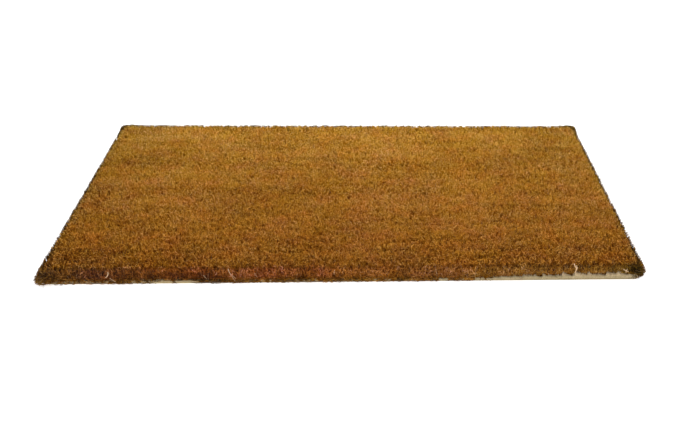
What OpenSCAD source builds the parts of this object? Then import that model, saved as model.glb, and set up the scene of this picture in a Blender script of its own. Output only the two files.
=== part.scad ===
// Door mat: cut coir tufts planted row by row in a sheet of soft vinyl, then sheared level.
// Millimetres. The mat lies flat: X runs along its length, Y across its depth and Z up.
// The origin is on the underside, at the centre of the mat.

/* [Mat] */
// Length of the mat, along X
mat_length = 750; // [600:10:900]
// Depth of the mat, along Y
mat_depth = 450; // [430:10:600]
// Overall height, from the underside of the vinyl to the sheared tips
mat_height = 23; // [15:0.5:30]
// Radius of the four cut corners
corner_radius = 11; // [6:1:30]

/* [Vinyl backing] */
// Thickness of the vinyl sheet
backing_thickness = 4; // [3:0.25:6]
// How deep the roots of the tufts sit in the vinyl
root_depth = 2; // [1:0.25:2.5]
// Width of the slot that the roots of one row fill
root_width = 5; // [3:0.25:5.5]
// Vinyl left between the end of a slot and the end of its row of pile
slot_rim = 4; // [3:0.5:5]

/* [Coir pile] */
// Rows of tufts, from the front edge to the back edge
row_count = 54; // [40:1:54]
// Clear width left between the tips of neighbouring rows
row_gap = 0.4; // [0.2:0.1:1]
// How much wider a row fans out at its tips than where it leaves the vinyl
tuft_fan = 1.6; // [0.4:0.2:2]
// Size of the bevel that the shears leave along both top edges of a row
tip_bevel = 0.6; // [0.2:0.1:1]
// How far the pile stands in from the cut edge of the vinyl
pile_inset = 1; // [0:0.5:3]

/* [Hidden] */
coir_colour = [0.62, 0.43, 0.17];
vinyl_colour = [0.80, 0.74, 0.60];
row_pitch = (mat_depth - 2 * pile_inset) / row_count;
tip_width = row_pitch - row_gap;
foot_width = tip_width - tuft_fan;
slot_floor = backing_thickness - root_depth;
overshoot = 1;
$fn = 64;

function row_name(i) = str("coir_row_", i < 10 ? "0" : "", i);
function row_y(i) = -mat_depth / 2 + pile_inset + (i - 0.5) * row_pitch;

// Half the length of the pile's rounded outline at a distance y from the middle.
function pile_half_length(y) =
    let (into_corner = max(0, abs(y) - (mat_depth / 2 - corner_radius)),
         arc = corner_radius - pile_inset)
    mat_length / 2 - corner_radius + sqrt(max(0, arc * arc - into_corner * into_corner));

// Half the length of a row's roots, which stay clear of the cut edge over their whole width.
function root_half_length(i) = pile_half_length(abs(row_y(i)) + root_width / 2) - slot_rim;

// Rectangle of the mat with its four round corners, drawn in from the edge by inset.
module mat_outline(inset = 0) {
    centre_x = mat_length / 2 - corner_radius;
    centre_y = mat_depth / 2 - corner_radius;
    square([2 * centre_x, mat_depth - 2 * inset], center = true);
    square([mat_length - 2 * inset, 2 * centre_y], center = true);
    for (sx = [-1, 1], sy = [-1, 1])
        translate([sx * centre_x, sy * centre_y])
            circle(corner_radius - inset);
}

// Strip that the roots of row i fill, from the floor of its slot up to top.
module root_strip(i, top) {
    translate([-root_half_length(i), row_y(i) - root_width / 2, slot_floor])
        cube([2 * root_half_length(i), root_width, top - slot_floor]);
}

// Cross-section of the pile of one row: it fans out from the vinyl up to the sheared tips.
module pile_section() {
    half_foot = foot_width / 2;
    half_tip = tip_width / 2;
    polygon([
        [-half_foot, backing_thickness],
        [half_foot, backing_thickness],
        [half_tip, mat_height - tip_bevel],
        [half_tip - tip_bevel, mat_height],
        [tip_bevel - half_tip, mat_height],
        [-half_tip, mat_height - tip_bevel],
    ]);
}

// Vinyl sheet with a flat underside, and a slot in its top for the roots of each row.
module vinyl_backing() {
    color(vinyl_colour)
    difference() {
        linear_extrude(backing_thickness)
            mat_outline();
        for (i = [1:row_count])
            root_strip(i, backing_thickness + overshoot);
    }
}

// One row of tufts: the roots in their slot, and the cut pile that stands above the vinyl.
module coir_row(i) {
    color(coir_colour) {
        root_strip(i, backing_thickness);
        intersection() {
            translate([0, row_y(i), 0])
                rotate([90, 0, 90])
                    linear_extrude(mat_length, center = true)
                        pile_section();
            linear_extrude(mat_height + overshoot)
                mat_outline(pile_inset);
        }
    }
}

vinyl_backing();
for (i = [1:row_count])
    coir_row(i);
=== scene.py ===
"""Door mat: rows of cut coir tufts in a cream vinyl backing. Metres, in the CAD model's frame."""

import math

import bpy
import numpy as np
from mathutils import Matrix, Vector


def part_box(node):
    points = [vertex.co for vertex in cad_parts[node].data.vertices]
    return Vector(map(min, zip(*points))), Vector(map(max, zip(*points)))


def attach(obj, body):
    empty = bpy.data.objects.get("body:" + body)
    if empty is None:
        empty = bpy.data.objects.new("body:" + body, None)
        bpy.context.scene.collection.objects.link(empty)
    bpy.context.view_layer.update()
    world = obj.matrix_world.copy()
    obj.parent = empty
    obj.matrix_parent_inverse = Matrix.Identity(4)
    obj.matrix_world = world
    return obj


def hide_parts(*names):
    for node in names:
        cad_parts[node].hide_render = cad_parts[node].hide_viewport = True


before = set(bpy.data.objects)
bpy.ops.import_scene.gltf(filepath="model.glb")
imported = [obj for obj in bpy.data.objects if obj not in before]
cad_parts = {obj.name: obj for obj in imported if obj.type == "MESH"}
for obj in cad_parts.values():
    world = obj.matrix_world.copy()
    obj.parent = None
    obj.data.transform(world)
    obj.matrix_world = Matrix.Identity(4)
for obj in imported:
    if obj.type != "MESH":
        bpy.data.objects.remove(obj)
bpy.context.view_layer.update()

MM = 0.001

# ---------------------------------------------------------------- places, from the frame
ROWS = sorted(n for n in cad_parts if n.startswith("coir_row_"))
ROW_BOX = {n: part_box(n) for n in ROWS}
MIDDLE_ROW = ROWS[len(ROWS) // 2]
BACKING_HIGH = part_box("vinyl_backing")[1]

HALF_LENGTH = BACKING_HIGH.x
HALF_DEPTH = BACKING_HIGH.y
BACKING_TOP = BACKING_HIGH.z
PILE_TOP = ROW_BOX[MIDDLE_ROW][1].z
PILE_INSET = HALF_LENGTH - ROW_BOX[MIDDLE_ROW][1].x
CORNER_RADIUS = 11 * MM


def row_middle(name):
    low, high = ROW_BOX[name]
    return (low.y + high.y) / 2


ROW_PITCH = row_middle(ROWS[1]) - row_middle(ROWS[0])

# ---------------------------------------------------------------- sizes of the pile
TUFT_PITCH = 6.25 * MM          # from tuft to tuft along a row
STRANDS_PER_TUFT = 8
FIBRES_PER_STRAND = 6
FIBRE_RADIUS = 0.21 * MM        # standing fibres
CURLY_RADIUS = 0.27 * MM        # loose ends on the cut surface
EDGE_RADIUS = 0.26 * MM         # fibres that splay through the cut edge
FACE_CURL_RADIUS = 0.25 * MM    # loose ends on the edge's face
RADIUS_SPREAD = 0.2             # spread of all these radii, as a share
# top of the dark bed under each row, whose dark tone is painted shade deep in the pile
SHADE_BED_TOP = PILE_TOP - 8 * MM
EDGE_BAND = 13 * MM             # nearer to the edge than this, fibres reach down to the vinyl

# spreads of where tufts stand, of how fibres lean and curl, and of tone from 0 (dark) to 1 (pale)
TUFT_SHIFT, TUFT_LEAN, TUFT_TONE = 0.5 * MM, 0.4 * MM, 0.01
ROW_LEAN, ROW_TONE = 0.3 * MM, 0.052
STRAND_LEAN, STRAND_CURL, STRAND_TONE = 1.2 * MM, 1.0 * MM, 0.085
FIBRE_LEAN, FIBRE_CURL, FIBRE_TONE = 1.2 * MM, 1.1 * MM, 0.17

CURLY_TIPS = 800                # on each row
EDGE_FIBRES = 20000             # round the whole mat
FACE_CURLS = 2400               # along the front
ROOTS_PER_TOOTH = 150           # coated root ends
FRAYED_ROOTS = 0.14             # share of them
LOOSE_ON_TOP = 130
CORNER_BULGE = 8.6 * MM         # how far the front corners flare out
LEFT_BULGE_HEIGHT = 6 * MM      # height of the widest part of that flare
RIGHT_BULGE_HEIGHT = 9 * MM

SEED = 20260
SEED_OF = {
    "rows": 100,
    "curly tips": 300,
    "shade_bed": 500,
    "coated roots": 700,
    "loose fibres": 800,
    "edge": 900,
}


def random_for(part, index=0):
    """A fresh random generator for one kind of fibre, so that each can be rebuilt by itself."""
    return np.random.default_rng(SEED + SEED_OF[part] + index)


# ---------------------------------------------------------------- smooth steps and fields
def step(low, high, value):
    """0 up to low, 1 from high on, and a smooth change between them. low may be the larger one."""
    share = np.clip((value - low) / (high - low), 0, 1)
    return share * share * (3 - 2 * share)


def near(value, middle, full, none):
    """1 where value is within full of the middle, 0 beyond none, and a smooth fall between them."""
    return step(none, full, np.abs(value - middle))


def smooth_field(x, y, wavelength, seed, waves=7):
    """A seeded, slowly varying value from about -1 to 1 at each place on the mat."""
    rng = np.random.default_rng(SEED + seed)
    total = np.zeros_like(x)
    for _ in range(waves):
        turn = rng.uniform(0, 2 * math.pi)
        size = wavelength * rng.uniform(0.6, 1.6)
        phase = rng.uniform(0, 2 * math.pi)
        total += np.sin(2 * math.pi * (x * math.cos(turn) + y * math.sin(turn)) / size + phase)
    return total / math.sqrt(waves / 2) / 1.6


def field_along(x, wavelength, seed):
    """A smooth field that varies along the mat only."""
    return smooth_field(x, 0 * x, wavelength, seed)


def unit(vectors):
    return vectors / (np.linalg.norm(vectors, axis=-1, keepdims=True) + 1e-12)


def add_object(name, data):
    """A new object in the scene with that mesh, light or camera."""
    item = bpy.data.objects.new(name, data)
    bpy.context.scene.collection.objects.link(item)
    return item


# ---------------------------------------------------------------- the mat's outline
def depth_inside(x, y):
    """How far a point lies inside the mat's rounded outline; negative outside it."""
    dx = np.abs(x) - (HALF_LENGTH - CORNER_RADIUS)
    dy = np.abs(y) - (HALF_DEPTH - CORNER_RADIUS)
    corner = np.hypot(np.maximum(dx, 0), np.maximum(dy, 0))
    return CORNER_RADIUS - np.where(corner > 0, corner, np.maximum(dx, dy))


def outward(x, y):
    """Unit direction from the middle of the mat out through its nearest edge, blended at the corners."""
    blend = 8 * MM
    ex = np.exp(-(HALF_LENGTH - np.abs(x)) / blend)
    ey = np.exp(-(HALF_DEPTH - np.abs(y)) / blend)
    ox, oy = np.sign(x) * ex, np.sign(y) * ey
    size = np.hypot(ox, oy) + 1e-12
    return ox / size, oy / size


def outline_loop():
    """The outline, anticlockwise from the front right: distances along it, x, y and outward angles."""
    steps = np.linspace(0, math.pi / 2, 13)
    centres = [(1, -1), (1, 1), (-1, 1), (-1, -1)]
    turn = np.concatenate([steps + (quarter - 1) * math.pi / 2 for quarter in range(4)])
    cx = np.repeat([c[0] for c in centres], len(steps)) * (HALF_LENGTH - CORNER_RADIUS)
    cy = np.repeat([c[1] for c in centres], len(steps)) * (HALF_DEPTH - CORNER_RADIUS)
    turn = np.append(turn, turn[0] + 2 * math.pi)
    x = np.append(cx, cx[0]) + CORNER_RADIUS * np.cos(turn)
    y = np.append(cy, cy[0]) + CORNER_RADIUS * np.sin(turn)
    far = np.append(0, np.cumsum(np.hypot(np.diff(x), np.diff(y))))
    return far, x, y, turn


OUTLINE = outline_loop()


def outline_at(distance):
    """Points of the outline at those distances along it: x, y and the outward direction."""
    far, x, y, turn = OUTLINE
    angle = np.interp(distance, far, turn)
    return np.interp(distance, far, x), np.interp(distance, far, y), np.cos(angle), np.sin(angle)


def frontness(y):
    """1 along the front edge and 0 elsewhere."""
    return step(-0.195, -0.215, y)


def backness(y):
    """1 along the back edge and 0 elsewhere."""
    return step(0.205, 0.222, y)


def bareness(x, y):
    """0 where the pile hangs over the cut edge of the vinyl, and 1 where it leaves the edge bare."""
    wander = 12 * MM * field_along(x, 40 * MM, 21)
    right_end = step(0.150, 0.205, x + wander) * step(0.373, 0.362, x)
    broken = step(-0.3, 0.6, field_along(x, 15 * MM, 25) + 0.6 * field_along(x, 4 * MM, 27))
    left_end = 0.65 * broken * step(-0.285, -0.310, x) * step(-0.378, -0.370, x)
    left_corner = 0.85 * step(-0.372, -0.367, x) * step(-0.350, -0.356, x)
    grain = field_along(x, 16 * MM, 28) + 0.8 * field_along(x, 5 * MM, 29)
    ragged = step(-0.2, 1.1, grain)
    left_patches = 0.9 * ragged * near(x, -0.235, 0.060, 0.090)
    middle_patches = 0.6 * ragged * near(x, -0.065, 0.045, 0.055)
    right_patches = 0.9 * ragged * near(x, 0.135, 0.045, 0.065)
    bright_patch = step(-1.6, -0.3, grain) * near(x, -0.212, 0.020, 0.036)
    scattered = 0.5 * step(0.35, 0.9, field_along(x, 24 * MM, 22)) * step(-0.05, 0.05, x)
    on_front = np.maximum.reduce([
        right_end, left_end, left_corner,
        left_patches, middle_patches, right_patches,
        bright_patch, scattered,
    ])
    elsewhere = 0.15 * step(-0.2, 0.9, smooth_field(x, y, 45 * MM, 23))
    front = frontness(y)
    return front * on_front + (1 - front) * elsewhere


# ---------------------------------------------------------------- meshes of fibres
def tube_faces(rings):
    """Triangles of one closed three-sided tube that ends in a point, by point number."""
    faces = [(0, 2, 1)]
    for ring in range(rings - 2):
        for corner in range(3):
            a, b = 3 * ring + corner, 3 * ring + (corner + 1) % 3
            faces += [(a, b, b + 3), (a, b + 3, a + 3)]
    tip = 3 * (rings - 1)
    faces += [(tip - 3 + corner, tip - 3 + (corner + 1) % 3, tip) for corner in range(3)]
    return np.array(faces)


def fibre_tubes(lines, radii, tone, pale, rng):
    """Closed three-sided tubes along lines (fibre, ring, xyz), each with a point at its last ring."""
    count, rings, _ = lines.shape
    spare = unit(rng.normal(0, 1, (count, 3)))
    size = 3 * (rings - 1) + 1
    points = np.empty((count, size, 3))
    for ring in range(rings - 1):
        along = unit(lines[:, ring + 1] - lines[:, max(ring - 1, 0)])
        side = unit(spare - along * np.sum(spare * along, axis=1, keepdims=True))
        other = np.cross(along, side)
        for corner in range(3):
            angle = 2 * math.pi * corner / 3
            reach = side * math.cos(angle) + other * math.sin(angle)
            points[:, 3 * ring + corner] = lines[:, ring] + reach * radii[:, ring, None]
    points[:, -1] = lines[:, -1]

    across = np.append(np.tile([0.15, 0.5, 0.85], rings - 1), 0.5)
    height = np.append(np.repeat(np.arange(rings - 1), 3), rings - 1) / (rings - 1)
    return {
        "points": points.reshape(-1, 3),
        "triangles": (tube_faces(rings)[None] + (np.arange(count) * size)[:, None, None]).reshape(-1, 3),
        "tone": np.repeat(tone, size),
        "pale": np.repeat(pale, size),
        "along": np.tile(height, count),
        "across": np.tile(across, count),
        "fibre": np.repeat(np.arange(count), size),
    }


def join(parts):
    """One set of arrays from several, with the points and the fibres renumbered."""
    points_before, fibres_before = 0, 0
    joined = {key: [] for key in parts[0]}
    for part in (p for p in parts if len(p["points"])):
        for key, values in part.items():
            shift = {"triangles": points_before, "fibre": fibres_before}.get(key, 0)
            joined[key].append(values + shift)
        points_before += len(part["points"])
        fibres_before += part["fibre"].max() + 1
    return {key: np.concatenate(values) for key, values in joined.items()}


def atlas(fibres):
    """UVs with one upright cell for each fibre, root at the bottom and tip at the top."""
    count = fibres["fibre"].max() + 1
    columns = math.ceil(math.sqrt(count * 8))
    rows = math.ceil(count / columns)
    column, row = fibres["fibre"] % columns, fibres["fibre"] // columns
    u = (column + fibres["across"]) / columns
    v = (row + 0.08 + 0.84 * fibres["along"]) / rows
    return np.stack([u, v], axis=1)


def add_values(mesh, name, values):
    """A named number at every point of a mesh, which its material reads."""
    mesh.attributes.new(name, "FLOAT", "POINT").data.foreach_set("value", values.astype(np.float32))


def make_mesh(name, data):
    """A mesh object from joined fibres, with their values and their UVs."""
    mesh = bpy.data.meshes.new(name)
    points, triangles = data["points"], data["triangles"]
    mesh.vertices.add(len(points))
    mesh.vertices.foreach_set("co", points.astype(np.float32).ravel())
    mesh.loops.add(triangles.size)
    mesh.loops.foreach_set("vertex_index", triangles.astype(np.int32).ravel())
    mesh.polygons.add(len(triangles))
    mesh.polygons.foreach_set("loop_start", np.arange(0, triangles.size, 3, dtype=np.int32))
    mesh.polygons.foreach_set("use_smooth", np.ones(len(triangles), dtype=bool))
    for key in ("tone", "pale"):
        add_values(mesh, key, data[key])
    layer = mesh.uv_layers.new(name="OFBake")
    layer.data.foreach_set("uv", atlas(data)[triangles.ravel()].astype(np.float32).ravel())
    mesh.update()
    return add_object(name, mesh)


# ---------------------------------------------------------------- standing fibres
def shoulder(y):
    """Radius of the pile's rounded upper edge."""
    return (2.5 + 2.5 * frontness(y)) * MM


def rim_lift(y):
    """The pile stands a little taller along the back edge."""
    return 0.9 * MM * backness(y)


def edge_shade(x, y):
    """How much darker the fibres are painted along the rim and along the splayed front of the mat:
    painted shade.
    """
    inside, from_left = depth_inside(x, y), HALF_LENGTH + x
    back = backness(y)
    soft_front = 0.85 * frontness(y) * step(-0.368, -0.355, x) * step(0.26, 0.18, x)
    rim = (0.50 - soft_front * 0.50) * step((4.8 + 4.7 * back) * MM, (2.2 + 3.6 * back) * MM, inside)
    rim += 0.13 * back * step(17 * MM, 9 * MM, inside)
    left_side = 0.13 * step(16 * MM, 4 * MM, from_left)
    left_side += 0.07 * step(60 * MM, 15 * MM, from_left) * step(0.05, -0.02, y)
    right_corner = 0.16 * step(0.352, 0.366, x) * frontness(y)
    front_strip = step(-0.165, -0.190, y) * (0.07 + 0.09 * step(-0.05, -0.35, x))
    front_ends = 0.09 * step(-0.24, -0.30, x) * step(-0.150, -0.168, y) * step(-0.212, -0.195, y)
    front_ends += 0.11 * step(0.15, 0.22, x) * step(-0.160, -0.190, y)
    return rim + left_side + right_corner + front_strip + front_ends


def row_strands(index, name, rng):
    """The strands of one row, which are clumps of fibres, and the row's own lean and tone."""
    count = int(2 * HALF_LENGTH / TUFT_PITCH) + 2
    stagger = 0.5 * (index % 2)
    tuft_x = (np.arange(count) - 0.5 + stagger) * TUFT_PITCH - HALF_LENGTH
    tuft_x += rng.normal(0, TUFT_SHIFT, count)
    tuft_y = row_middle(name) + rng.normal(0, TUFT_SHIFT, count)
    tuft_tone = rng.normal(0, TUFT_TONE, count)
    tuft_lean = rng.normal(0, TUFT_LEAN, (count, 2))
    row_tone = rng.normal(0, ROW_TONE)
    row_lean = rng.normal(0, ROW_LEAN)

    strands = count * STRANDS_PER_TUFT
    tuft = np.repeat(np.arange(count), STRANDS_PER_TUFT)
    turn = rng.uniform(0, 2 * math.pi, strands)
    reach = np.sqrt(rng.uniform(0, 1, strands))
    sx, sy = reach * np.cos(turn), reach * np.sin(turn)      # places in the tuft, on a unit disc
    lean = np.stack([sx * 0.6 * MM, sy * 1.3 * MM], axis=1) + tuft_lean[tuft]
    lean += rng.normal(0, STRAND_LEAN, (strands, 2))
    curl = rng.normal(0, STRAND_CURL, (strands, 2))
    drop = np.abs(rng.normal(0, 0.25 * MM, strands))
    cut_short = rng.uniform(0, 1, strands) < 0.12
    drop += cut_short * rng.uniform(0.8, 2.4, strands) * MM
    return {
        "root": np.stack([tuft_x[tuft] + sx * 3.2 * MM, tuft_y[tuft] + sy * 3.4 * MM], axis=1),
        "lean": lean,
        "curl": curl,
        "drop": drop,
        "tone": tuft_tone[tuft] + rng.normal(0, STRAND_TONE, strands),
        "row_lean": row_lean,
        "row_tone": row_tone,
    }


def fibre_roots(strands, rng):
    """Strand number and root of each fibre, without those that the blade cut off along the edge."""
    strand = np.repeat(np.arange(len(strands["root"])), FIBRES_PER_STRAND)
    total = len(strand)
    root = strands["root"][strand] + rng.normal(0, 0.4 * MM, (total, 2))
    bare = bareness(root[:, 0], root[:, 1])
    keep = depth_inside(root[:, 0], root[:, 1]) > (0.5 + 2.6 * bare) * MM * rng.uniform(0.7, 1.3, total)
    return strand[keep], root[keep]


def lean_and_curl(strands, strand, root, rng):
    """How far each fibre leans and curls sideways, held back where it would leave the mat."""
    x, y = root[:, 0], root[:, 1]
    inside = depth_inside(x, y)
    lean = strands["lean"][strand] + rng.normal(0, FIBRE_LEAN, (len(x), 2))
    sway = 1.5 * MM * step(2 * MM, 16 * MM, inside)
    lean[:, 0] += sway * smooth_field(x, y, 70 * MM, 1)
    lean[:, 1] += sway * smooth_field(x, y, 60 * MM, 2) + strands["row_lean"]
    curl = strands["curl"][strand] + rng.normal(0, FIBRE_CURL, (len(x), 2))
    ox, oy = outward(x, y)
    out = (lean + curl)[:, 0] * ox + (lean + curl)[:, 1] * oy
    held = np.clip(out, -9 * MM, 0.6 * MM + 0.9 * inside) - out
    lean[:, 0] += ox * held
    lean[:, 1] += oy * held
    return lean, curl


def cut_height(strand_drop, root, tip, rng):
    """Height of each tip on the cut surface, which is uneven and rounded off at the edges of the mat."""
    x, y = root[:, 0], root[:, 1]
    radius = shoulder(y)
    short = np.clip(radius - depth_inside(tip[:, 0], tip[:, 1]), 0, radius)
    fall = radius - np.sqrt(radius ** 2 - short ** 2)
    drop = strand_drop + np.abs(rng.normal(0, 0.2 * MM, len(x)))
    drop += 0.2 * MM * (1 + smooth_field(x, y, 90 * MM, 3)) + fall
    return PILE_TOP + 0.5 * MM - drop + rim_lift(y)


def row_fibres(index, name):
    """The standing fibres of one row of tufts."""
    rng = random_for("rows", index)
    strands = row_strands(index, name, rng)
    strand, root = fibre_roots(strands, rng)
    lean, curl = lean_and_curl(strands, strand, root, rng)
    tip = root + lean + curl
    top = cut_height(strands["drop"][strand], root, tip, rng)
    at_edge = depth_inside(root[:, 0], root[:, 1]) < EDGE_BAND
    bottom = np.where(at_edge, BACKING_TOP - 0.8 * MM, SHADE_BED_TOP - 3 * MM)

    total = len(strand)
    tone = 0.5 + strands["row_tone"] + strands["tone"][strand] + rng.normal(0, FIBRE_TONE, total)
    # painted shade along the rim and over the front rows
    tone -= edge_shade(tip[:, 0], tip[:, 1])
    pale = 0.3 * (rng.uniform(0, 1, total) < 0.02)
    thick = FIBRE_RADIUS * rng.lognormal(0, RADIUS_SPREAD, total)

    # three rings each: the root, a bend near the top, and the tip, which alone takes the curl
    parts = []
    for chosen, bend in ((~at_edge, 0.68), (at_edge, 0.84)):
        share = np.array((0.0, bend, 1.0))[None, :]
        start = (bottom[chosen] - BACKING_TOP) / (PILE_TOP - BACKING_TOP)
        rise = np.maximum(start[:, None] + (1 - start[:, None]) * share, 0)
        lines = np.empty((len(start), 3, 3))
        for axis in (0, 1):
            lines[:, :, axis] = root[chosen, axis, None] + lean[chosen, axis, None] * rise
            lines[:, -1, axis] += curl[chosen, axis]
        lines[:, :, 2] = bottom[chosen, None] + (top - bottom)[chosen, None] * share
        radii = np.repeat(thick[chosen, None], 2, axis=1)
        parts.append(fibre_tubes(lines, radii, tone[chosen], pale[chosen], rng))
    return parts


def curly_tips(index, name):
    """Loose bright ends that lie on the cut surface of one row, in all directions."""
    rng = random_for("curly tips", index)
    x = rng.uniform(-HALF_LENGTH + 1.5 * MM, HALF_LENGTH - 1.5 * MM, CURLY_TIPS)
    y = row_middle(name) + rng.uniform(-0.5, 0.5, CURLY_TIPS) * ROW_PITCH
    keep = depth_inside(x, y) > (4 + 3 * step(0.205, 0.215, y)) * MM
    x, y = x[keep], y[keep]
    total = len(x)
    turn = rng.uniform(0, 2 * math.pi, total)
    bend = rng.normal(0, 1.2, total)
    length = rng.uniform(2.0, 5.0, total) * MM
    lines = np.empty((total, 4, 3))
    lines[:, 0] = np.stack([x, y, np.full(total, PILE_TOP - 4 * MM)], axis=1)
    for ring, (share, depth) in enumerate(((0.25, 1.1), (0.65, 0.25), (1.0, 0.5)), start=1):
        angle = turn + bend * (share - 0.5)
        lines[:, ring, 0] = x + np.cos(angle) * length * share
        lines[:, ring, 1] = y + np.sin(angle) * length * share
        lines[:, ring, 2] = PILE_TOP - depth * MM + rng.normal(0, 0.25 * MM, total)
    thick = CURLY_RADIUS * rng.lognormal(0, RADIUS_SPREAD, total)
    tone = rng.uniform(0.55, 1.0, total)
    return fibre_tubes(lines, np.repeat(thick[:, None], 3, axis=1), tone, np.zeros(total), rng)


# ---------------------------------------------------------------- fibres of the cut edge
def edge_places(count, rng):
    """Random distances along the outline, denser at the corners, where the fibres fan out."""
    far = np.linspace(0, OUTLINE[0][-1], 2000)
    x, y, _, _ = outline_at(far)
    ends = step(HALF_LENGTH - 30 * MM, HALF_LENGTH - 5 * MM, np.abs(x))
    density = 1 + 4.5 * ends * step(0.195, 0.22, np.abs(y))
    density += 0.25 * frontness(y)
    share = np.cumsum(density)
    return np.interp(rng.uniform(0, share[-1], count), share, far)


def corner_share(x, y):
    """1 in the corners of the mat, where the fibres fan out furthest, and 0 along its sides."""
    return step(0.335, 0.370, np.abs(x)) * step(0.185, 0.220, np.abs(y))


def bare_height(x):
    """How high the bare vinyl and the coated roots show along the front edge."""
    bright_patch = 2.6 * near(x, -0.212, 0.018, 0.034) + 1.2 * near(x, -0.198, 0.006, 0.018)
    return (2.2 + bright_patch + 8.6 * step(0.165, 0.295, x)) * MM


def corner_flare(x, y, nx, z):
    """How far the fan of a corner stands out at height z; the back corners flare a quarter as much."""
    left = x < 0
    widest = np.where(left, LEFT_BULGE_HEIGHT, RIGHT_BULGE_HEIGHT)
    below = np.clip((PILE_TOP - z) / (PILE_TOP - widest), 0, 1)
    under = np.clip((widest - z) / widest, 0, 1)
    bulge = below - np.where(left, 0.5, 1.0) * under ** np.where(left, 2.0, 1.2)
    bulge *= np.where(left, 0.4 + 0.6 * np.abs(nx), 0.4 + 0.5 * np.abs(nx))
    return CORNER_BULGE * corner_share(x, y) * bulge * (0.25 + 0.75 * step(-0.15, -0.20, y))


def face_reach(x, y, nx, ny, z):
    """How far the pile stands out from the outline at height z. nx, ny is the outward direction."""
    bare, front, along_side = bareness(x, y), frontness(y), 1 - corner_share(x, y)
    recess = 2.6 * bare * front * along_side * step(0.05, 0.13, x)
    tuck = 0.8 * front * along_side * step(7 * MM, 1 * MM, z)
    face = (0.6 + 0.5 * (1 - bare) - recess - tuck) * MM
    face += (1 - front) * (0.6 + 1.8 * step(0.360, 0.374, x)) * MM
    face += corner_flare(x, y, nx, z)
    low_left = step(0, -0.1, x) * step(0, -0.1, y) * step(16 * MM, 8 * MM, z)
    face += 2 * np.abs(nx * ny) * (1.8 * step(0, 0.1, y) + 3.6 * low_left) * MM
    radius = shoulder(y)
    rise = np.clip((z - PILE_TOP + radius) / radius, 0, 1)
    return face - radius * (1 - np.sqrt(1 - rise ** 2))


def face_tone_and_shade(x, y, ny, z):
    """Mean tone of fibres on the edge's face, with painted shade: dark along the sides and back, low on
    the front and in a band over the strip.
    """
    front = step(0.35, 0.95, -ny)
    left_end = step(-0.08, -0.18, x)
    far_left = step(-0.20, -0.29, x)
    middle = step(-0.13, -0.08, x) * step(0.14, 0.08, x)
    over_strip = step(0.19, 0.26, x) * step(12 * MM, 9.5 * MM, z)
    right_end = step(0.330, 0.365, x)
    tone = 0.10 + 0.46 * front + 0.12 * (1 - front) * step(20 * MM, 12 * MM, z)
    tone = tone + (0.05 + 0.07 * front) * smooth_field(x, y, 26 * MM, 26)
    tone -= front * (0.05 + 0.28 * left_end + 0.04 * step(0.30, 0.34, x)) * step(21 * MM, 17 * MM, z)
    tone -= front * (0.17 * middle * step(20 * MM, 14 * MM, z) + 0.16 * over_strip)
    tone -= front * 0.09 * step(0.22, 0.30, x) * step(11 * MM, 14 * MM, z)
    tone += front * far_left * (0.16 * step(12 * MM, 5 * MM, z) - 0.14 * step(15 * MM, 19 * MM, z))
    tone += 0.05 * front * step(-0.17, -0.20, x) * step(14 * MM, 10 * MM, z)
    return tone - front * (0.14 + 0.04 * left_end) * step(9 * MM, 4 * MM, z) - 0.24 * front * right_end


def edge_tips(x, y, nx, ny, rng):
    """Where tips lie, round the shoulder and then down the face: height and reach outward."""
    n = len(x)
    front = frontness(y)
    radius = shoulder(y)
    bare = rng.uniform(0, 1, n) < bareness(x, y)
    lowest = np.where(bare, bare_height(x), 0.4 * MM) + 2.0 * MM * (1 - front)
    arc = radius * math.pi / 2
    way = rng.uniform(0, 1, n) ** (1 - 0.35 * front) * (arc + PILE_TOP - radius - lowest)
    turn = np.minimum(way / radius, math.pi / 2)
    z = PILE_TOP - radius + radius * np.cos(turn) - np.maximum(way - arc, 0)
    out = face_reach(x, y, nx, ny, z) + (0.12 + 0.18 * front) * MM * rng.normal(0, 1, n)
    beside_vinyl = z < BACKING_TOP + 0.5 * MM
    return z, np.where(beside_vinyl, np.maximum(out, 0.35 * MM), out)


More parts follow.
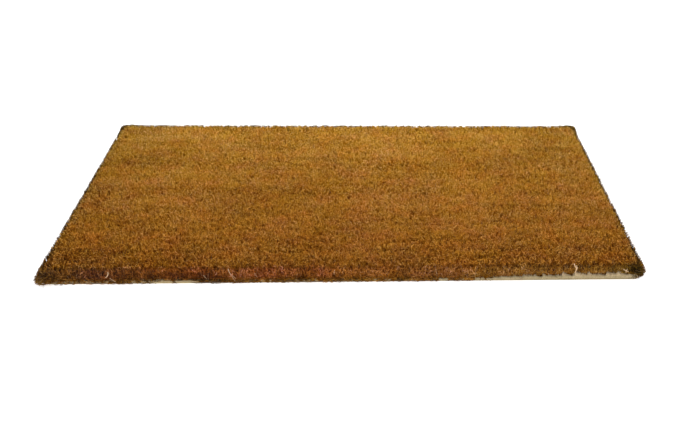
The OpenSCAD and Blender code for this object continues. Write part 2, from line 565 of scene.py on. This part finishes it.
def edge_fibres():
    """Fibres that splay out through the cut edge, tips all over its face. One part for each row."""
    rng = random_for("edge")
    n = EDGE_FIBRES
    x, y, nx, ny = outline_at(edge_places(n, rng))
    tip_z, tip_out = edge_tips(x, y, nx, ny, rng)

    # each is an arch: up from the vinyl, inside the pile, and out to its tip on the face
    root_in = (0.7 + rng.uniform(0, 4.5, n) + 2.0 * bareness(x, y)) * MM
    crown_out = -0.25 * root_in
    crown_z = np.maximum(0.75 * tip_z, BACKING_TOP + 2.5 * MM) + 2.0 * MM
    crown_z = np.minimum(crown_z, PILE_TOP - 1 * MM)
    slide = rng.normal(0, 4.0 * MM, n) + 1.5 * MM * smooth_field(x, y, 25 * MM, 24)
    share = np.linspace(0, 1, 4)[None, :]
    early, middle, late = (1 - share) ** 2, 2 * share * (1 - share), share ** 2
    out = early * -root_in[:, None] + middle * crown_out[:, None] + late * tip_out[:, None]
    sideways = slide[:, None] * share ** 2
    lines = np.empty((n, 4, 3))
    lines[:, :, 0] = x[:, None] + nx[:, None] * out - ny[:, None] * sideways
    lines[:, :, 1] = y[:, None] + ny[:, None] * out + nx[:, None] * sideways
    lines[:, :, 2] = early * (BACKING_TOP - 0.6 * MM) + middle * crown_z[:, None] + late * tip_z[:, None]

    thick = (EDGE_RADIUS + 0.10 * MM * corner_share(x, y)) * rng.lognormal(0, RADIUS_SPREAD, n)
    radii = thick[:, None] * np.array((1.0, 1.0, 0.9))[None, :]
    # tone of the face fibres, with painted shade on the sides, the back and low on the front
    tone = face_tone_and_shade(x, y, ny, tip_z) + rng.normal(0, 0.19, n)
    pale = 0.35 * (rng.uniform(0, 1, n) < 0.03)
    low_and_pale = rng.uniform(0, 1, n) < 0.12 + 0.28 * step(-0.15, -0.19, x)
    pale += 0.6 * low_and_pale * frontness(y) * step(4.5 * MM, 2 * MM, tip_z)

    row = np.floor((lines[:, 0, 1] + HALF_DEPTH - PILE_INSET) / ROW_PITCH)
    row = np.clip(row, 0, len(ROWS) - 1).astype(int)
    return [
        fibre_tubes(lines[row == k], radii[row == k], tone[row == k], pale[row == k], rng)
        for k in range(len(ROWS))
    ]


def face_curls(rng):
    """Loose ends that lie across the edge's face in all directions and mat over the cut vinyl."""
    n, rings = FACE_CURLS, 5
    far = OUTLINE[0]
    spot = rng.uniform(far[-2] - 6 * MM, far[-1] + 2 * MM, n) % far[-1]
    x, y, nx, ny = outline_at(spot)
    lowest = np.where(rng.uniform(0, 1, n) < bareness(x, y), bare_height(x), 0.45 * MM)
    matted = rng.uniform(0, 1, n) < 0.4
    z = np.where(matted, rng.uniform(0.5, 6, n), rng.uniform(3, 21, n)) * MM
    lowest = np.maximum(lowest, 5 * MM * step(0.350, 0.366, np.abs(x)))
    z = np.maximum(z, lowest)
    angle = rng.uniform(0, 2 * math.pi, n)
    level = np.round(angle / math.pi) * math.pi + rng.normal(0, 0.35, n)
    angle = np.where(matted, level, angle)
    bend = rng.normal(0, 0.45, n)
    pace = rng.uniform(3.5, 8, n) * MM / (rings - 1)
    lift = rng.uniform(0.1, 0.6, n) * MM
    lines = np.empty((n, rings, 3))
    for ring in range(rings):
        x, y, nx, ny = outline_at(spot % far[-1])
        z = np.clip(z, lowest, PILE_TOP - 0.3 * MM)
        out = face_reach(x, y, nx, ny, z) + lift * (1 - 0.6 * abs(ring - 2) / 2)
        lines[:, ring] = np.stack([x + nx * out, y + ny * out, z], axis=1)
        spot = spot + np.cos(angle) * pace
        z = z + np.sin(angle) * pace
        angle = angle + bend + rng.normal(0, 0.15, n)
    tone = face_tone_and_shade(x, y, ny, z) + rng.normal(0.04, 0.19, n)
    thick = FACE_CURL_RADIUS * rng.lognormal(0, RADIUS_SPREAD, n)
    return fibre_tubes(lines, np.repeat(thick[:, None], rings - 1, axis=1), tone, np.zeros(n), rng)


# ---------------------------------------------------------------- dark beds under the rows: painted shade
def shade_bed_faces(steps, sides):
    """Triangles of a closed bar with that many steps along it and sides round it."""
    triangles = []
    for i in range(steps - 1):
        for s in range(sides):
            a, b = i * sides + s, i * sides + (s + 1) % sides
            triangles += [(a, a + sides, b + sides), (a, b + sides, b)]
    last = (steps - 1) * sides
    for s in range(1, sides - 1):
        triangles += [(0, s, s + 1), (last, last + s + 1, last + s)]
    return np.array(triangles)


def shade_bed(index, name):
    """A dark bed under one row, which closes the view between its fibres and rises towards the rim. Its
    dark tone is painted shade deep in the pile.
    """
    rng = random_for("shade_bed", index)
    steps = 181
    inset = 3.6 * MM
    profile = np.array([(-1, 0), (-1, 0.86), (-0.55, 1.0), (0, 0.95), (0.55, 1.0), (1, 0.86), (1, 0)])
    sides = len(profile)
    side_y = row_middle(name) + profile[:, 0] * ROW_PITCH / 2
    side_y = np.clip(side_y, -HALF_DEPTH + inset, HALF_DEPTH - inset)
    over = np.maximum(np.abs(side_y) - (HALF_DEPTH - CORNER_RADIUS), 0)
    reach = HALF_LENGTH - CORNER_RADIUS - inset + np.sqrt(CORNER_RADIUS ** 2 - over ** 2)
    points = np.empty((steps, sides, 3))
    points[:, :, 0] = np.linspace(-1, 1, steps)[:, None] * reach[None, :]
    points[:, :, 1] = side_y[None, :]
    rise = 4 * MM * step(14 * MM, inset, depth_inside(points[:, :, 0], points[:, :, 1]))
    points[:, :, 2] = BACKING_TOP - 0.3 * MM + profile[None, :, 1] * (SHADE_BED_TOP + rise - BACKING_TOP)
    points[:, 1:-1, 2] += rng.normal(0, 0.8 * MM, (steps, sides - 2))
    size = steps * sides
    return {
        "points": points.reshape(-1, 3),
        "triangles": shade_bed_faces(steps, sides),
        # dark tone: painted shade deep in the pile
        "tone": np.full(size, 0.12),
        "pale": np.zeros(size),
        "along": np.tile(np.arange(sides) / (sides - 1), steps),
        "across": np.repeat(np.linspace(0.15, 0.85, steps), sides),
        "fibre": np.zeros(size, dtype=int),
    }


# ---------------------------------------------------------------- material nodes
def new_material(name):
    """A material with one Principled shader: the material, its node tree and the shader."""
    mat = bpy.data.materials.new(name)
    mat.use_nodes = True
    nt = mat.node_tree
    nt.nodes.clear()
    out = nt.nodes.new("ShaderNodeOutputMaterial")
    shader = nt.nodes.new("ShaderNodeBsdfPrincipled")
    nt.links.new(shader.outputs[0], out.inputs["Surface"])
    return mat, nt, shader


def feed(nt, socket, value):
    """Join a socket to another one, or give it a plain value; a tuple is a colour."""
    if isinstance(value, bpy.types.NodeSocket):
        nt.links.new(value, socket)
    else:
        socket.default_value = (*value, 1) if isinstance(value, tuple) else value


def ramp(nt, source, stops):
    """A colour for each value of the source, from stops of (value, colour)."""
    node = nt.nodes.new("ShaderNodeValToRGB")
    ends = node.color_ramp.elements
    while len(ends) < len(stops):
        ends.new(0.5)
    for element, (position, colour) in zip(ends, stops):
        element.position = position
        element.color = (*colour, 1)
    nt.links.new(source, node.inputs["Fac"])
    return node.outputs["Color"]


def attribute(nt, name):
    node = nt.nodes.new("ShaderNodeAttribute")
    node.attribute_name = name
    return node.outputs["Fac"]


def place(nt):
    """The point in the mat's own frame, in metres, whole and as x, y and z."""
    node = nt.nodes.new("ShaderNodeTexCoord")
    split = nt.nodes.new("ShaderNodeSeparateXYZ")
    nt.links.new(node.outputs["Object"], split.inputs[0])
    return node.outputs["Object"], split.outputs


def noise(nt, vector, scale, detail=3.0, stretch=None):
    """Noise with that many cells to a metre; stretch scales each axis before that."""
    if stretch is not None:
        mapping = nt.nodes.new("ShaderNodeMapping")
        mapping.inputs["Scale"].default_value = stretch
        nt.links.new(vector, mapping.inputs["Vector"])
        vector = mapping.outputs["Vector"]
    node = nt.nodes.new("ShaderNodeTexNoise")
    node.inputs["Scale"].default_value = scale
    node.inputs["Detail"].default_value = detail
    nt.links.new(vector, node.inputs["Vector"])
    return node.outputs["Fac"]


def remap(nt, source, low, high, to_low=0.0, to_high=1.0):
    """The source taken from low..high to to_low..to_high, and held there beyond both ends."""
    node = nt.nodes.new("ShaderNodeMapRange")
    for key, value in (("From Min", low), ("From Max", high), ("To Min", to_low), ("To Max", to_high)):
        node.inputs[key].default_value = value
    nt.links.new(source, node.inputs["Value"])
    return node.outputs["Result"]


def mix(nt, kind, factor, a, b):
    """A Mix node on colours. factor, a and b are each a socket or a plain value."""
    node = nt.nodes.new("ShaderNodeMix")
    node.data_type = "RGBA"
    node.blend_type = kind
    for socket, value in ((node.inputs[0], factor), (node.inputs[6], a), (node.inputs[7], b)):
        feed(nt, socket, value)
    return node.outputs[2]


def maths(nt, operation, a, b):
    node = nt.nodes.new("ShaderNodeMath")
    node.operation = operation
    for socket, value in zip(node.inputs, (a, b)):
        feed(nt, socket, value)
    return node.outputs[0]


def bump(nt, shader, height, strength, distance):
    """Fine relief on the shader, of that distance in metres."""
    node = nt.nodes.new("ShaderNodeBump")
    node.inputs["Strength"].default_value = strength
    node.inputs["Distance"].default_value = distance
    nt.links.new(height, node.inputs["Height"])
    nt.links.new(node.outputs["Normal"], shader.inputs["Normal"])


# ---------------------------------------------------------------- coir
COIR_COLOURS = (       # linear colours from the darkest tone to the palest
    (0.00, (0.058, 0.034, 0.006)),
    (0.12, (0.100, 0.038, 0.004)),
    (0.30, (0.235, 0.101, 0.006)),
    (0.50, (0.412, 0.198, 0.013)),
    (0.75, (0.590, 0.314, 0.033)),
    (1.00, (0.770, 0.475, 0.100)),
)
FACE_TINTS = (         # factors on the front face's colour, from its left end to its right end
    (0.01, (0.86, 1.00, 2.2)),
    (0.08, (0.96, 0.92, 2.6)),
    (0.34, (1.00, 0.81, 1.8)),
    (0.55, (0.98, 0.90, 1.5)),
    (0.72, (0.92, 1.02, 1.9)),
    (0.90, (0.86, 1.04, 2.0)),
    (0.98, (0.74, 1.02, 1.8)),
)
RED_TINT = (1.0, 0.85, 0.90)
DULL_TINT = (0.98, 1.0, 1.5)
# painted shade of the front rows, darker and redder than the back
FRONT_SHADE_TINT = (1.03, 0.83, 0.77)
RIM_TINT = (0.97, 1.13, 1.4)
LOW_TINT = (0.78, 0.90, 1.05)
PALE_COIR = (0.74, 0.51, 0.30)


def coir_tone(nt, point):
    """How pale a spot is: the tone of its fibre, with specks, wide patches and bands along the rows."""
    specks = remap(nt, noise(nt, point, 520.0, 1.0), 0.3, 0.7, -0.19, 0.19)
    patches = remap(nt, noise(nt, point, 9.0, 2.0), 0.3, 0.7, -0.06, 0.06)
    bands = remap(nt, noise(nt, point, 1.0, 2.0, stretch=(5.0, 60.0, 1.0)), 0.3, 0.7, -0.07, 0.07)
    tone = maths(nt, "ADD", attribute(nt, "tone"), specks)
    return maths(nt, "ADD", tone, maths(nt, "ADD", patches, bands))


def tint_by_place(nt, colour, x, y, z):
    """The colour as it changes over the front face, round the rim and low down, and towards the front,
    where it is painted shade.
    """
    # painted shade: darker and redder towards the front
    colour = mix(nt, "MULTIPLY", remap(nt, y, 0.20, -0.22), colour, FRONT_SHADE_TINT)
    face = maths(nt, "MULTIPLY", remap(nt, y, -0.2195, -0.2235), remap(nt, z, 0.005, 0.010))
    colour = mix(nt, "MULTIPLY", face, colour, ramp(nt, remap(nt, x, -0.375, 0.375), FACE_TINTS))
    side = remap(nt, maths(nt, "ABSOLUTE", x, 0.0), 0.364, 0.372)
    rim = maths(nt, "MAXIMUM", side, remap(nt, y, 0.208, 0.219))
    colour = mix(nt, "MULTIPLY", rim, colour, RIM_TINT)
    low_colour = mix(nt, "MULTIPLY", 1.0, colour, LOW_TINT)
    return mix(nt, "MIX", remap(nt, z, 0.003, 0.012), low_colour, colour)


def coir_material():
    mat, nt, shader = new_material("coir_fibre")
    point, (x, y, z) = place(nt)
    colour = ramp(nt, coir_tone(nt, point), COIR_COLOURS)
    redness = remap(nt, noise(nt, point, 38.0, 2.0), 0.42, 0.68)
    colour = mix(nt, "MULTIPLY", redness, colour, RED_TINT)
    dullness = remap(nt, noise(nt, point, 27.0, 2.0), 0.40, 0.66)
    colour = mix(nt, "MULTIPLY", dullness, colour, DULL_TINT)
    colour = tint_by_place(nt, colour, x, y, z)
    colour = mix(nt, "MIX", attribute(nt, "pale"), colour, PALE_COIR)
    nt.links.new(colour, shader.inputs["Base Color"])
    roughness = remap(nt, noise(nt, point, 300.0, 2.0), 0.3, 0.7, 0.52, 0.72)
    nt.links.new(roughness, shader.inputs["Roughness"])
    shader.inputs["Specular IOR Level"].default_value = 0.012
    bump(nt, shader, noise(nt, point, 1.0, 2.0, stretch=(9000.0, 9000.0, 1200.0)), 0.4, 0.00005)
    return mat


# ---------------------------------------------------------------- vinyl
CREAM_COLOURS = ((0.3, (0.28, 0.22, 0.100)), (0.7, (0.39, 0.315, 0.16)))
# painted shadow along the bottom of the vinyl's cut edge
BOTTOM_SHADE_TINT = (0.45, 0.40, 0.32)
PALE_ROOT = (0.60, 0.45, 0.27)
# the brown of the vinyl where the pile covers it
DARK_BROWN = (0.11, 0.062, 0.020)


def vinyl_material():
    mat, nt, shader = new_material("vinyl_cream")
    point, (x, _, z) = place(nt)
    cream = ramp(nt, noise(nt, point, 60.0, 4.0), CREAM_COLOURS)
    # painted shadow: darker over the lowest 4 mm of the vinyl, most towards the right end
    low = remap(nt, z, 0.0012, 0.0042, 0.55, 0.0)
    bottom_shade = maths(nt, "MULTIPLY", low, remap(nt, x, 0.15, 0.22, 0.2, 1.0))
    cream = mix(nt, "MULTIPLY", bottom_shade, cream, BOTTOM_SHADE_TINT)
    cream = mix(nt, "MIX", attribute(nt, "pale"), cream, PALE_ROOT)
    # mottled brown where the pile covers the vinyl, and faintly on the coated root tips
    brown_share = remap(nt, noise(nt, point, 420.0, 3.0), 0.35, 0.65, -0.45, 0.45)
    brown_share = remap(nt, maths(nt, "ADD", attribute(nt, "brown_share"), brown_share), 0.3, 0.7)
    colour = mix(nt, "MIX", brown_share, cream, DARK_BROWN)
    nt.links.new(colour, shader.inputs["Base Color"])
    roughness = remap(nt, noise(nt, point, 350.0, 3.0), 0.3, 0.7, 0.42, 0.62)
    nt.links.new(roughness, shader.inputs["Roughness"])
    shader.inputs["Specular IOR Level"].default_value = 0.3
    bump(nt, shader, noise(nt, point, 700.0, 3.0), 0.5, 0.0003)
    return mat


def edge_sections(x, y):
    """The vinyl's edge as (inset, height) pairs from the underside round the cut face to its top."""
    wave = 0.12 * MM * smooth_field(x, y, 9 * MM, 41)
    teeth = np.abs(smooth_field(x, y, 11 * MM, 42)) * bareness(x, y) * 1.6 * MM
    sections = [
        (1.9 * MM, 0),
        (1.3 * MM, 0.12 * MM),
        (0.5 * MM + 0.5 * wave, 0.6 * MM),
        (0.1 * MM + 0.5 * wave, 1.4 * MM),
        (0.05 * MM - wave, 2.8 * MM),
        (0.25 * MM - wave, BACKING_TOP - 0.35 * MM + 0.2 * teeth),
        (0.9 * MM, BACKING_TOP + 0.5 * teeth),
        (2.2 * MM, BACKING_TOP + teeth),
        (3.4 * MM, BACKING_TOP + 0.7 * teeth),
        (5.0 * MM, BACKING_TOP),
    ]
    return [(inset + 0 * x, height + 0 * x) for inset, height in sections]


def vinyl_underside(columns, rows):
    """The sheet's lower face, with a rib under each row, and the x and y of the outline's own grid."""
    inset = 2.0 * MM
    gx = np.linspace(-1, 1, columns + 1)
    gy = np.linspace(-1, 1, rows + 1)
    x = np.repeat(gx[:, None], rows + 1, axis=1) * HALF_LENGTH
    over = np.clip(np.abs(x) - (HALF_LENGTH - CORNER_RADIUS), 0, CORNER_RADIUS)
    y = gy[None, :] * (HALF_DEPTH - CORNER_RADIUS + np.sqrt(CORNER_RADIUS ** 2 - over ** 2))
    under_x = x * (HALF_LENGTH - inset) / HALF_LENGTH
    under_y = y * (HALF_DEPTH - inset) / HALF_DEPTH
    rib = 0.5 - 0.5 * np.cos(2 * math.pi * (under_y + HALF_DEPTH) / ROW_PITCH)
    fade = step(1.5 * MM, 8 * MM, depth_inside(x, y))
    z = (0.22 * rib + 0.10 * (1 + smooth_field(x, y, 30 * MM, 43))) * fade * MM
    return x, y, np.stack([under_x, under_y, np.maximum(z, 0)], axis=2)


def grid_border(columns, rows):
    """Columns and rows of a grid's border points, once round it."""
    loop = [(i, 0) for i in range(columns)] + [(columns, j) for j in range(rows)]
    loop += [(i, rows) for i in range(columns, 0, -1)] + [(0, j) for j in range(rows, 0, -1)]
    return tuple(np.array(loop).T)


def vinyl_skin():
    """Points and faces of the closed sheet: its underside, rings round the cut edge, and its top."""
    columns, rows = 250, 4 * len(ROWS)
    x, y, under = vinyl_underside(columns, rows)
    number = np.arange(x.size).reshape(x.shape)
    points = [under.reshape(-1, 3)]
    faces = [
        (number[i, j], number[i, j + 1], number[i + 1, j + 1], number[i + 1, j])
        for i in range(columns) for j in range(rows)
    ]
    border = grid_border(columns, rows)
    x, y, before = x[border], y[border], number[border]
    dx = np.sign(x) * np.maximum(np.abs(x) - (HALF_LENGTH - CORNER_RADIUS), 0)
    dy = np.sign(y) * np.maximum(np.abs(y) - (HALF_DEPTH - CORNER_RADIUS), 0)
    nx, ny = dx / np.hypot(dx, dy), dy / np.hypot(dx, dy)
    start = number.size
    for inset, height in edge_sections(x, y):
        ring = start + np.arange(len(x))
        points.append(np.stack([x - nx * inset, y - ny * inset, height], axis=1))
        faces += zip(before, np.roll(before, -1), np.roll(ring, -1), ring)
        before, start = ring, start + len(x)
    faces.append(tuple(before))
    return np.concatenate(points), faces


# ---------------------------------------------------------------- pieces
def finish_piece(piece, material, slot, *nodes):
    """Give a piece its material and the body it rides, and hide the CAD nodes that it stands for."""
    piece.data.materials.append(material)
    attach(piece, "root")
    if nodes:
        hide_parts(*nodes)


def build_vinyl(vinyl):
    """The vinyl sheet: a ribbed underside, an uneven cut edge and a lip that climbs the first roots."""
    points, faces = vinyl_skin()
    mesh = bpy.data.meshes.new("vinyl_sheet")
    mesh.from_pydata(points.tolist(), [], [tuple(int(v) for v in f) for f in faces])
    mesh.polygons.foreach_set("use_smooth", np.ones(len(mesh.polygons), dtype=bool))
    x, y, z = points.T
    at_edge = step(10 * MM, 2 * MM, depth_inside(x, y))
    above = step(0.02 * MM, 0.4 * MM, z)
    # brown where the pile covers the vinyl: along the cut edge where it is not bare, and over its whole
    # top under the pile
    brown_share = np.maximum((1 - bareness(x, y)) * at_edge * above, (1 - at_edge) * above)
    add_values(mesh, "brown_share", brown_share)
    piece = add_object("vinyl_sheet", mesh)
    finish_piece(piece, vinyl, "vinyl", "vinyl_backing")


def coated_places(rng):
    """Coated root ends in teeth along the front: x, how far inside the edge, height above the vinyl."""
    margin = 6 * MM
    wide = rng.uniform(6, 18, 72) * MM
    teeth = -HALF_LENGTH + margin + np.cumsum(wide) - wide
    on_mat = teeth < HALF_LENGTH - margin
    wide, teeth = wide[on_mat], teeth[on_mat]
    count = len(teeth)
    tall = (rng.uniform(0.8, 2.6, count) + rng.uniform(3, 8, count) * step(0.16, 0.30, teeth)) * MM
    flat, sharp = rng.uniform(0.2, 0.75, count), rng.uniform(0.7, 2.2, count)

    # each tooth rises steeply on its left and falls away along its width
    tooth = np.repeat(np.arange(count), ROOTS_PER_TOOTH)
    spread = rng.uniform(-0.15, 1, len(tooth))
    x = teeth[tooth] + spread * wide[tooth]
    bare = bareness(x, np.full(len(x), -HALF_DEPTH + 1 * MM))
    keep = rng.uniform(0, 1, len(x)) < step(0.2, 0.7, bare)
    tooth, spread, x = tooth[keep], spread[keep], x[keep]
    inset = rng.uniform(-1.2, 0.6, len(x)) * MM
    fall = flat[tooth] + (1 - flat[tooth]) * (1 - np.maximum(spread, 0)) ** sharp[tooth]
    slope = np.where(spread < 0, 1 + 5 * spread, fall)
    return x, inset, tall[tooth] * slope * rng.uniform(0.75, 1.15, len(x))


def build_coated_roots(vinyl):
    """Root ends that the liquid vinyl ran up where the edge is bare. Frayed ones are thin and long."""
    rng = random_for("coated roots")
    x, inset, height = coated_places(rng)
    n = len(x)
    frayed = rng.uniform(0, 1, n) < FRAYED_ROOTS
    height += frayed * rng.uniform(0.6, 2.8, n) * MM
    drift = rng.normal(-0.4 * MM, 0.5 * MM, n) * (1 + 1.6 * frayed)
    share = np.linspace(0, 1, 4)[None, :]
    lines = np.empty((n, 4, 3))
    lines[:, :, 0] = x[:, None] + drift[:, None] * share
    start_y = -HALF_DEPTH + 0.2 * MM + np.maximum(inset, 0)
    lines[:, :, 1] = start_y[:, None] + np.minimum(inset, 0)[:, None] * share
    lines[:, :, 2] = BACKING_TOP - 1.2 * MM + (height + 1.2 * MM)[:, None] * share
    thick = (0.5 - 0.22 * frayed) * MM * rng.lognormal(0, RADIUS_SPREAD, n)
    radii = thick[:, None] * np.array((1.3, 1.1, 0.8))[None, :]
    data = fibre_tubes(lines, radii, np.zeros(n), rng.uniform(0.1, 0.7, n), rng)
    data["pale"] += 0.8 * step(6.5 * MM, 10 * MM, data["points"][:, 2])
    piece = make_mesh("coated_root_ends", data)
    add_values(piece.data, "brown_share", 0.04 * data["along"] ** 3)
    finish_piece(piece, vinyl, "vinyl")


def build_rows(coir):
    """One piece for each row: standing fibres, loose tips, its part of the cut edge, and a dark bed of
    painted shade.
    """
    splayed = edge_fibres()
    for index, name in enumerate(ROWS):
        standing = row_fibres(index, name)
        parts = [*standing, curly_tips(index, name), splayed[index], shade_bed(index, name)]
        piece = make_mesh(name.replace("row", "tufts"), join(parts))
        finish_piece(piece, coir, "coir", name)


# ---------------------------------------------------------------- loose fibres
STRAY_RINGS = 9

# stray fibres on the front face: x, height of the top end and length (mm), lean (degrees), radius (mm)
STRAYS = (
    (-291, 19, 10, 5, 0.50),
    (-290, 10.5, 9, 38, 0.36),
    (-177, 13.5, 8, 42, 0.20),
    (-146, 21.5, 9, 16, 0.48),
    (-143, 13, 11, 34, 0.26),
    (-143, 14, 9, 58, 0.22),
    (-114, 17, 8, 10, 0.18),
    (-15, 20, 8, -25, 0.20),
    (110, 19, 8, 20, 0.20),
    (286, 23, 8, 30, 0.60),
    (290, 20, 9, -25, 0.60),
    (289, 22, 6, 10, 0.55),
    (349, 17, 6, 55, 0.50),
    (354, 17.5, 6, -20, 0.46),
    (352, 15, 5, 70, 0.46),
)


def curly_lines(start, heading, length, curl, rng):
    """Wandering lines of those lengths from the start points, for loose fibres."""
    n = len(start)
    lines = np.empty((n, STRAY_RINGS, 3))
    lines[:, 0] = start
    angle, bend = heading.copy(), rng.normal(0, curl, n)
    sink = rng.normal(0, 0.3, n)
    pace = length / (STRAY_RINGS - 1)
    for ring in range(1, STRAY_RINGS):
        bend += rng.normal(0, 0.5 * curl, n)
        angle += bend
        lines[:, ring, 0] = lines[:, ring - 1, 0] + np.cos(angle) * pace
        lines[:, ring, 1] = lines[:, ring - 1, 1] + np.sin(angle) * pace
        lines[:, ring, 2] = lines[:, ring - 1, 2] + sink * pace * 0.2
    return lines


def lying_fibres(rng):
    """Loose fibres that lie on the cut surface."""
    n = LOOSE_ON_TOP
    start = np.stack([
        rng.uniform(-HALF_LENGTH + 15 * MM, HALF_LENGTH - 15 * MM, n),
        rng.uniform(-HALF_DEPTH + 12 * MM, HALF_DEPTH - 15 * MM, n),
        np.full(n, PILE_TOP),
    ], axis=1)
    lines = curly_lines(start, rng.uniform(0, 2 * math.pi, n), rng.uniform(4, 10, n) * MM, 0.35, rng)
    lines[:, :, 2] = PILE_TOP + rng.uniform(0.1, 0.5, (n, STRAY_RINGS)) * MM
    return lines


def hanging_fibres(x, top, length, lean, rng):
    """Strays drawn as curls in the plane of the front face, then wrapped over its shoulder."""
    start = np.stack([x * MM, 0 * x, 0 * x], axis=1)
    lines = curly_lines(start, np.radians(lean - 90), length * MM, 0.05, rng)
    radius = shoulder(-HALF_DEPTH)
    height = np.clip(top[:, None] * MM + lines[:, :, 1], 1.2 * MM, PILE_TOP + 0.6 * MM)
    rise = np.clip((height - PILE_TOP + radius) / radius, 0, 1)
    lines[:, :, 1] = -HALF_DEPTH - 1.5 * MM + radius * (1 - np.sqrt(1 - 0.98 * rise ** 2))
    lines[:, :, 2] = height
    return lines


def build_loose_fibres(coir):
    """Pale stray fibres that lie on the pile or hang down its front, and the loose ends on that face."""
    rng = random_for("loose fibres")
    x, top, length, lean, thick = np.array(STRAYS).T
    lying = lying_fibres(rng)
    hanging = hanging_fibres(x, top, length, lean, rng)
    parts = []
    for lines, radius, pale in ((lying, np.full(len(lying), 0.16), 0.25), (hanging, thick, 0.9)):
        count = len(lines)
        radii = np.repeat(radius[:, None] * MM, STRAY_RINGS - 1, axis=1)
        tone = rng.normal(0.9, 0.06, count)
        parts.append(fibre_tubes(lines, radii, tone, np.full(count, pale), rng))
    parts.append(face_curls(rng))
    finish_piece(make_mesh("loose_fibres", join(parts)), coir, "coir")


# ---------------------------------------------------------------- floor, light and camera
FLOOR_HALF = 6.0
FLOOR_GREY = 0.90
FLOOR_GLOW = 0.7
SKY_STRENGTH = 1.05
LIGHT_PLACE = (0.05, 0.42, 0.52)
LIGHT_SIZE = (0.5, 0.2)
LIGHT_POWER = 5.6

CAMERA_PLACE = (0.0243, -1.1818, 0.6214)
CAMERA_PITCH, CAMERA_YAW, CAMERA_ROLL = 29.03, 4.25, 1.79      # degrees
CAMERA_LENS = 46.55
CAMERA_SHIFT = -0.1074


def build_floor():
    half = FLOOR_HALF
    mesh = bpy.data.meshes.new("floor")
    corners = [(-half, -half, 0), (half, -half, 0), (half, half, 0), (-half, half, 0)]
    mesh.from_pydata(corners, [], [(0, 1, 2, 3)])
    mat, _, shader = new_material("floor_pale")
    shader.inputs["Base Color"].default_value = (FLOOR_GREY, FLOOR_GREY, FLOOR_GREY, 1)
    shader.inputs["Roughness"].default_value = 0.9
    shader.inputs["Emission Color"].default_value = (1, 1, 1, 1)
    shader.inputs["Emission Strength"].default_value = FLOOR_GLOW
    mesh.materials.append(mat)
    add_object("floor", mesh)


def build_sky():
    world = bpy.data.worlds.new("studio")
    world.use_nodes = True
    world.node_tree.nodes["Background"].inputs["Color"].default_value = (1, 1, 1, 1)
    world.node_tree.nodes["Background"].inputs["Strength"].default_value = SKY_STRENGTH
    bpy.context.scene.world = world


def build_light():
    """One soft light over the back edge, which leaves the front face in shade."""
    lamp = bpy.data.lights.new("key_light", "AREA")
    lamp.shape = "RECTANGLE"
    lamp.size, lamp.size_y = LIGHT_SIZE
    lamp.energy = LIGHT_POWER
    light = add_object("key_light", lamp)
    light.location = LIGHT_PLACE
    light.rotation_euler = (-light.location).to_track_quat("-Z", "Y").to_euler()


def build_camera():
    data = bpy.data.cameras.new("camera")
    data.sensor_width = 36
    data.lens = CAMERA_LENS
    data.shift_x = CAMERA_SHIFT
    camera = add_object("camera", data)
    turn = Matrix.Rotation(math.radians(-CAMERA_YAW), 4, "Z")
    turn = turn @ Matrix.Rotation(math.radians(90 - CAMERA_PITCH), 4, "X")
    turn = turn @ Matrix.Rotation(math.radians(CAMERA_ROLL), 4, "Z")
    camera.matrix_world = Matrix.Translation(CAMERA_PLACE) @ turn
    bpy.context.scene.camera = camera


bpy.context.scene.view_settings.view_transform = "Standard"
build_camera()
build_floor()
build_sky()
build_light()
vinyl = vinyl_material()
coir = coir_material()
build_vinyl(vinyl)
build_coated_roots(vinyl)
build_rows(coir)
build_loose_fibres(coir)
